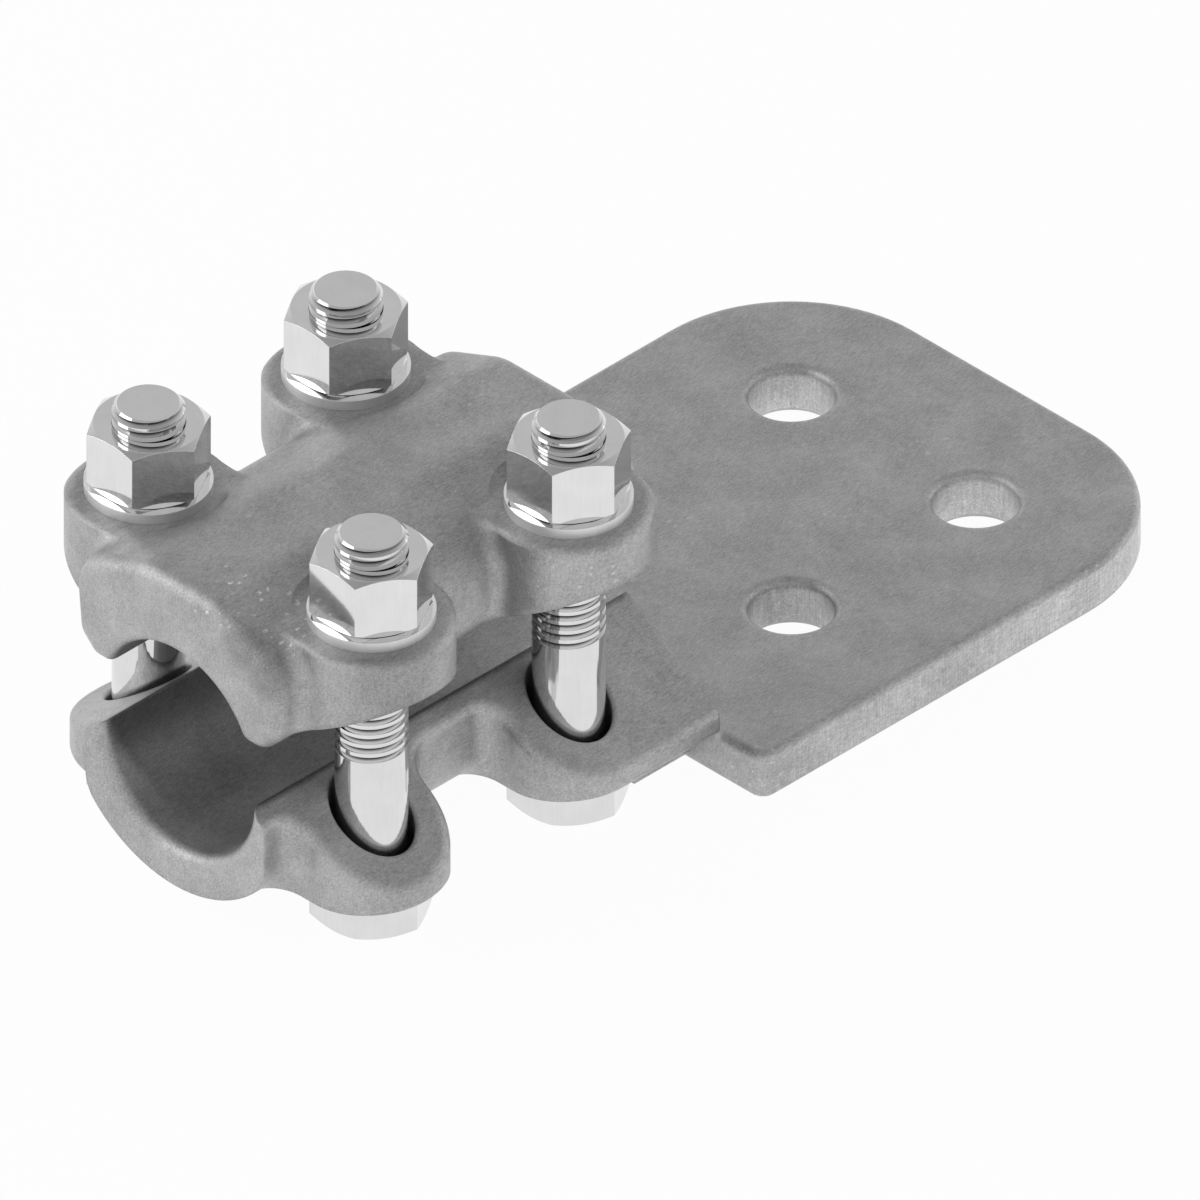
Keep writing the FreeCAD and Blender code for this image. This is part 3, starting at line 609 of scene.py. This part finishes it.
@dataclass(frozen=True)
class PlatedFinish:
    """Bright plated steel: mirror-like, with faint rub marks, and corners lightened partly as wear, partly as
    a painted highlight.

    A root radius above 0 paints shade on the metal that lies nearer to a bolt's axis, down in the thread's
    roots, but not on the bolt's end face. A rim radius above 0 dulls what lies farther out.
    """

    name: str
    shade: float = 0.74
    shade_spread: float = 0.06
    roughness: float = 0.07
    edge_round: float = 0.12 * MM
    cloud: Layer = Layer(5.00 * MM, 2.0, 0.5, 0.8)
    rubs: Layer = Layer(0.50 * MM, 2.0, 0.5, 0.4, (1.0, 1.0, 0.08))
    fine: Layer = Layer(0.35 * MM, 2.0, 0.6, 0.03)
    cloud_roughness: float = 0.04
    # corners lighter: partly wear, partly a painted highlight
    edge_wear_and_highlight: float = 0.35
    edge_roughness: float = 0.05
    speck_cell: float = 1.9 * MM
    speck_depth: float = 0.4
    relief: float = 0.01 * MM
    relief_strength: float = 0.12
    root_radius: float = 0.0
    root_depth: float = 0.80 * MM
    root_shadow_level: float = 0.10
    end_face: tuple[float, float] = (BOLT_TOP - 0.5 * MM, BOLT_TOP - 0.2 * MM)
    rim_radius: float = 0.0
    rim_width: float = 0.08 * MM
    rim_dulling: float = 0.42

    def material(self) -> bpy.types.Material:
        """Build the material.

        Returns:
            The material, on the piece's own coordinates.
        """
        material, graph = new_graph(self.name)
        soft, edges = graph.worn_and_lit_edges(self.edge_round)
        cloud, rubs, fine = (layer.noise(graph) for layer in (self.cloud, self.rubs, self.fine))
        specks = graph.specks(self.speck_cell, reach=0.08, share=0.3)
        share = 0.5 + (cloud - 0.5) * self.cloud.weight + (rubs - 0.5) * self.rubs.weight
        share = share + edges * self.edge_wear_and_highlight - specks * self.speck_depth
        low = self.shade * (1 - self.shade_spread)
        high = min(self.shade * (1 + self.shade_spread), 1.0)
        colour = graph.blend(share.between(0.0, 1.0), low, high)
        roughness = self.roughness + (fine - 0.5) * self.fine.weight + (cloud - 0.5) * self.cloud_roughness
        roughness = roughness + edges * self.edge_roughness
        # painted shade in the thread's roots, fading out up the flanks
        if self.root_radius:
            _, _, z = graph.coordinates()
            flank = graph.off_axis().between(self.root_radius, self.root_radius + self.root_depth)
            unshadowed_metal = graph.math("MAXIMUM", flank, z.between(*self.end_face))
            colour = graph.scaled(colour, self.root_shadow_level + unshadowed_metal * (1 - self.root_shadow_level))
        if self.rim_radius:
            rim = graph.off_axis().between(self.rim_radius, self.rim_radius + self.rim_width)
            roughness = roughness + rim * self.rim_dulling
        graph.metal({
            "Base Color": colour,
            "Metallic": 1.0,
            "Roughness": roughness,
            "Normal": graph.bump((rubs + fine) * 0.5, self.relief, self.relief_strength, soft),
        })
        return material


# ---------------------------------------------------------------- modelling helpers


def pick(thing: bpy.types.Object) -> None:
    """Select one object alone and make it the active one.

    Args:
        thing: the object.
    """
    bpy.ops.object.select_all(action="DESELECT")
    thing.select_set(True)
    bpy.context.view_layer.objects.active = thing


def edit_all(thing: bpy.types.Object) -> None:
    """Open a mesh for editing with everything in it selected.

    Args:
        thing: the mesh.
    """
    pick(thing)
    bpy.ops.object.mode_set(mode="EDIT")
    bpy.ops.mesh.select_all(action="SELECT")


def leave_edit() -> None:
    """Go back to object mode."""
    bpy.ops.object.mode_set(mode="OBJECT")


def apply_modifier(thing: bpy.types.Object, kind: str, settings: dict) -> None:
    """Add one modifier and apply it.

    Args:
        thing: the mesh.
        kind: the modifier's type.
        settings: its properties.
    """
    pick(thing)
    bpy.ops.object.modifier_add(type=kind)
    modifier = thing.modifiers[-1]
    for name, setting in settings.items():
        setattr(modifier, name, setting)
    bpy.ops.object.modifier_apply(modifier=modifier.name)


def merged_copy(node: str, name: str) -> bpy.types.Object:
    """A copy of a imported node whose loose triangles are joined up.

    Args:
        node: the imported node.
        name: the new piece's name.

    Returns:
        The copy, at the origin, with no material.
    """
    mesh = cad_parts[node].data.copy()
    mesh.materials.clear()
    copy = bpy.data.objects.new(name, mesh)
    bpy.context.scene.collection.objects.link(copy)
    edit_all(copy)
    bpy.ops.mesh.customdata_custom_splitnormals_clear()
    bpy.ops.mesh.remove_doubles(threshold=NODE_MERGE)
    bpy.ops.mesh.normals_make_consistent(inside=False)
    leave_edit()
    return copy


def smooth(thing: bpy.types.Object, angle: float) -> None:
    """Shade smooth up to an angle in degrees."""
    pick(thing)
    bpy.ops.object.shade_smooth_by_angle(angle=math.radians(angle))


def coat(thing: bpy.types.Object, material: bpy.types.Material) -> None:
    """Give a piece one material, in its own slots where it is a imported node.

    Args:
        thing: the piece.
        material: the material.
    """
    if not thing.material_slots:
        thing.data.materials.append(material)
    for slot in thing.material_slots:
        slot.material = material


def triangles(thing: bpy.types.Object) -> int:
    """How many triangles a piece has."""
    thing.data.calc_loop_triangles()
    return len(thing.data.loop_triangles)


# ---------------------------------------------------------------- the connector's sub-assemblies


@dataclass
class Castings:
    """The trough with its pad, and the keeper over it."""

    body_finish: CastFinish
    keeper_finish: CastFinish

    def build(self) -> None:
        """Dress both castings."""
        for node, finish in (("terminal_body", self.body_finish), ("keeper", self.keeper_finish)):
            coat(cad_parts[node], finish.material())
            report.info("%s: packed shape, %s", node, finish.name)


@dataclass
class ThreadedBolts:
    """The four hex bolts, with the thread cut into the upper part of each shank.

    The thread has 13 turns to the inch. The overcut is how far the cutter stands out of the shank.
    """

    finish: PlatedFinish
    pitch: float = 25.4 * MM / 13
    groove_half_width: float = 0.60 * MM
    root_depth: float = 1.15 * MM
    overcut: float = 0.1 * MM
    thread_bottom: float = 26.2 * MM
    steps_a_turn: int = 88
    smooth_angle: float = 24.0
    normal_weight: int = 60

    def thread_cutter(self, axis: Vector, shank_radius: float, top: float) -> bpy.types.Object:
        """A three-sided rib wound round the bolt's axis, which cuts one groove all the way up.

        Args:
            axis: a point on the bolt's axis.
            shank_radius: radius of the shank.
            top: height of the bolt's end.

        Returns:
            The cutter, a closed solid.
        """
        turns = math.ceil((top - self.thread_bottom) / self.pitch) + 1
        bpy.ops.object.select_all(action="DESELECT")
        origin = (0, 0, 0)
        bpy.ops.mesh.primitive_circle_add(
            vertices=3, radius=self.root_depth, fill_type="NOTHING", location=origin
        )
        cutter = bpy.context.object
        cutter.name = "thread_cutter"
        # one corner is turned to point inwards, and the triangle is stood up
        tip = max(cutter.data.vertices, key=lambda v: v.co.length).co
        inwards = math.atan2(tip.y, tip.x) + math.pi
        edit_all(cutter)
        bpy.ops.transform.rotate(value=inwards, orient_axis="Z", center_override=origin)
        bpy.ops.transform.rotate(value=math.pi / 2, orient_axis="X", center_override=origin)
        leave_edit()
        reaches = [v.co.x for v in cutter.data.vertices]
        inner, outer = min(reaches), max(reaches)
        tall = max(v.co.z for v in cutter.data.vertices)
        # its base stands a little outside the shank, where the groove is widest
        depth = self.root_depth + self.overcut
        half_width = self.groove_half_width * depth / self.root_depth
        edit_all(cutter)
        bpy.ops.transform.resize(
            value=(depth / (outer - inner), 1, half_width / tall), center_override=(inner, 0, 0)
        )
        bpy.ops.transform.translate(value=(shank_radius - self.root_depth - inner, 0, self.thread_bottom))
        leave_edit()
        apply_modifier(cutter, "SCREW", {
            "axis": "Z",
            "angle": math.tau,
            "screw_offset": self.pitch,
            "iterations": turns,
            "steps": self.steps_a_turn,
            "render_steps": self.steps_a_turn,
            "use_merge_vertices": False,
        })
        pick(cutter)
        bpy.ops.object.mode_set(mode="EDIT")
        bpy.ops.mesh.select_all(action="DESELECT")
        bpy.ops.mesh.select_non_manifold(
            extend=False, use_wire=False, use_multi_face=False, use_non_contiguous=False, use_verts=False
        )
        bpy.ops.mesh.fill()
        bpy.ops.mesh.select_all(action="SELECT")
        bpy.ops.mesh.normals_make_consistent(inside=False)
        bpy.ops.transform.translate(value=(axis.x, axis.y, 0))
        leave_edit()
        return cutter

    def model(self, corner: Corner) -> bpy.types.Object:
        """Cut the thread into one merged bolt.

        Args:
            corner: the place whose packed bolt is used.

        Returns:
            The bolt, in place.
        """
        node = f"bolt_{corner.value}"
        low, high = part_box(node)
        axis = (low + high) / 2
        shank = max(
            math.hypot(v.co.x - axis.x, v.co.y - axis.y)
            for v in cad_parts[node].data.vertices
            if v.co.z > self.thread_bottom
        )
        bolt = merged_copy(node, f"threaded_bolt_{corner.value}")
        cutter = self.thread_cutter(axis, shank, high.z)
        apply_modifier(bolt, "BOOLEAN", {"operation": "DIFFERENCE", "solver": "EXACT", "object": cutter})
        bpy.data.objects.remove(cutter)
        edit_all(bolt)
        bpy.ops.mesh.remove_doubles(threshold=CUT_MERGE)
        bpy.ops.mesh.normals_make_consistent(inside=False)
        leave_edit()
        return bolt

    def build(self) -> None:
        """Model one bolt, copy it to the other corners and dress all four."""
        material = self.finish.material()
        corners = list(Corner)
        first = self.model(corners[0])
        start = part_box(f"bolt_{corners[0].value}")[0]
        bolts = [first]
        for corner in corners[1:]:
            copy = bpy.data.objects.new(f"threaded_bolt_{corner.value}", first.data.copy())
            bpy.context.scene.collection.objects.link(copy)
            edit_all(copy)
            bpy.ops.transform.translate(value=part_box(f"bolt_{corner.value}")[0] - start)
            leave_edit()
            bolts.append(copy)
        for corner, bolt in zip(corners, bolts):
            smooth(bolt, self.smooth_angle)
            apply_modifier(bolt, "WEIGHTED_NORMAL", {"keep_sharp": True, "weight": self.normal_weight})
            coat(bolt, material)
            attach(bolt, "base")
            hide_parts(f"bolt_{corner.value}")
            report.info("%s: %d triangles", bolt.name, triangles(bolt))


@dataclass
class NutsAndWashers:
    """The four nuts and the conical washers under them."""

    nut_finish: PlatedFinish
    washer_finish: PlatedFinish

    def build(self) -> None:
        """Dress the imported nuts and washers."""
        nut_material = self.nut_finish.material()
        washer_material = self.washer_finish.material()
        for corner in Corner:
            coat(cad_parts[f"nut_{corner.value}"], nut_material)
            coat(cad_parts[f"spring_washer_{corner.value}"], washer_material)
            report.info("nut and washer %s: packed shapes", corner.value)


# ---------------------------------------------------------------- studio


@dataclass(frozen=True)
class Lamp:
    """One soft square lamp, aimed at the connector."""

    name: str
    place: Place
    side: float
    radiance: float

    def build(self, target: Vector) -> None:
        """Put the lamp up, its power worked out from its size and brightness.

        Args:
            target: the point it faces.
        """
        data = bpy.data.lights.new(self.name, "AREA")
        data.shape = "SQUARE"
        data.size = self.side
        data.energy = self.radiance * math.pi * self.side ** 2
        lamp = bpy.data.objects.new(self.name, data)
        bpy.context.scene.collection.objects.link(lamp)
        lamp.location = self.place
        lamp.rotation_euler = (target - Vector(self.place)).to_track_quat("-Z", "Y").to_euler()


@dataclass
class Studio:
    """White floor, a backdrop that darkens overhead, soft lamps and the photograph's camera."""

    floor_half: float = 3.0
    floor_glow: float = 0.96
    zenith: float = 0.36
    # the middle of the picture lies this far from the origin, along the picture's own right and up
    image_right: float = -32.70 * MM
    image_up: float = -17.19 * MM
    frame_width: float = 204.85 * MM
    camera_distance: float = 1.2
    lamps: Sequence[Lamp] = (
        Lamp("lamp_left", (-0.62, 0.50, 0.42), side=0.50, radiance=1.8),
        Lamp("lamp_right", (0.85, -0.30, 0.20), side=0.36, radiance=0.7),
    )

    def build_floor(self, level: float) -> None:
        """Lay the floor.

        Args:
            level: height of its surface.
        """
        bpy.ops.object.select_all(action="DESELECT")
        bpy.ops.mesh.primitive_plane_add(size=2 * self.floor_half, location=(0, 0, level))
        floor = bpy.context.object
        floor.name = "studio_floor"
        material, graph = new_graph("studio_floor")
        rays = graph.node("ShaderNodeLightPath").outputs
        seen: Operand = 0.0
        for kind in ("Is Camera Ray", "Is Glossy Ray", "Is Transmission Ray"):
            seen = graph.math("MAXIMUM", seen, Value(graph, rays[kind]))
        paint = graph.node("ShaderNodeBsdfDiffuse", {}, {"Color": WHITE})
        glow = graph.node("ShaderNodeEmission", {}, {"Color": WHITE, "Strength": 1.0})
        mixed = graph.node(
            "ShaderNodeMixShader", {}, {0: seen * self.floor_glow, 1: paint.outputs[0], 2: glow.outputs[0]}
        )
        graph.node("ShaderNodeOutputMaterial", {}, {"Surface": mixed.outputs[0]})
        floor.data.materials.append(material)
        floor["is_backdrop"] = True

    def build_world(self) -> None:
        """White at the horizon, grey overhead."""
        world = bpy.data.worlds.new("studio_backdrop")
        bpy.context.scene.world = world
        world.use_nodes = True
        graph = Graph(world.node_tree)
        _, _, rise = graph.split(graph.node("ShaderNodeTexCoord").outputs["Generated"])
        strength = 1.0 - graph.math("MAXIMUM", rise, 0.0) * (1.0 - self.zenith)
        sky = graph.node("ShaderNodeBackground", {}, {"Color": WHITE, "Strength": strength})
        graph.node("ShaderNodeOutputWorld", {}, {"Surface": sky.outputs[0]})

    def build_camera(self) -> None:
        """The photograph's view: along a cube's diagonal, with no perspective."""
        right = Vector((1, -1, 0)).normalized()
        up = Vector((1, 1, 2)).normalized()
        back = Vector((-1, -1, 1)).normalized()
        data = bpy.data.cameras.new("camera")
        data.type = "ORTHO"
        data.ortho_scale = self.frame_width
        camera = bpy.data.objects.new("camera", data)
        bpy.context.scene.collection.objects.link(camera)
        camera.location = right * self.image_right + up * self.image_up + back * self.camera_distance
        camera.rotation_mode = "QUATERNION"
        camera.rotation_quaternion = (-back).to_track_quat("-Z", "Y")
        bpy.context.scene.camera = camera

    def build(self, low: Vector, high: Vector) -> None:
        """Set the studio round the object.

        Args:
            low: lowest corner of the object.
            high: highest corner of the object.
        """
        self.build_floor(low.z)
        self.build_world()
        for lamp in self.lamps:
            lamp.build((low + high) / 2)
        self.build_camera()
        bpy.context.scene.view_settings.view_transform = "Standard"
        report.info("studio: %d lamps", len(self.lamps))


def main() -> None:
    """Build the looks in order."""
    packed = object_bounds()
    Castings(
        CastFinish("cast_aluminium_body", 0.8 * MM, floor_shades=False),
        CastFinish("cast_aluminium_keeper", 2.2 * MM, floor_shades=True),
    ).build()
    ThreadedBolts(
        PlatedFinish("plated_bolt_steel", 0.72, edge_round=0.05 * MM, root_radius=5.25 * MM),
    ).build()
    NutsAndWashers(
        PlatedFinish("plated_nut_steel"),
        PlatedFinish("plated_washer_steel", 0.92, edge_round=0.2 * MM, rim_radius=11 * MM),
    ).build()
    Studio().build(*packed)


if __name__ == "__main__":
    main()
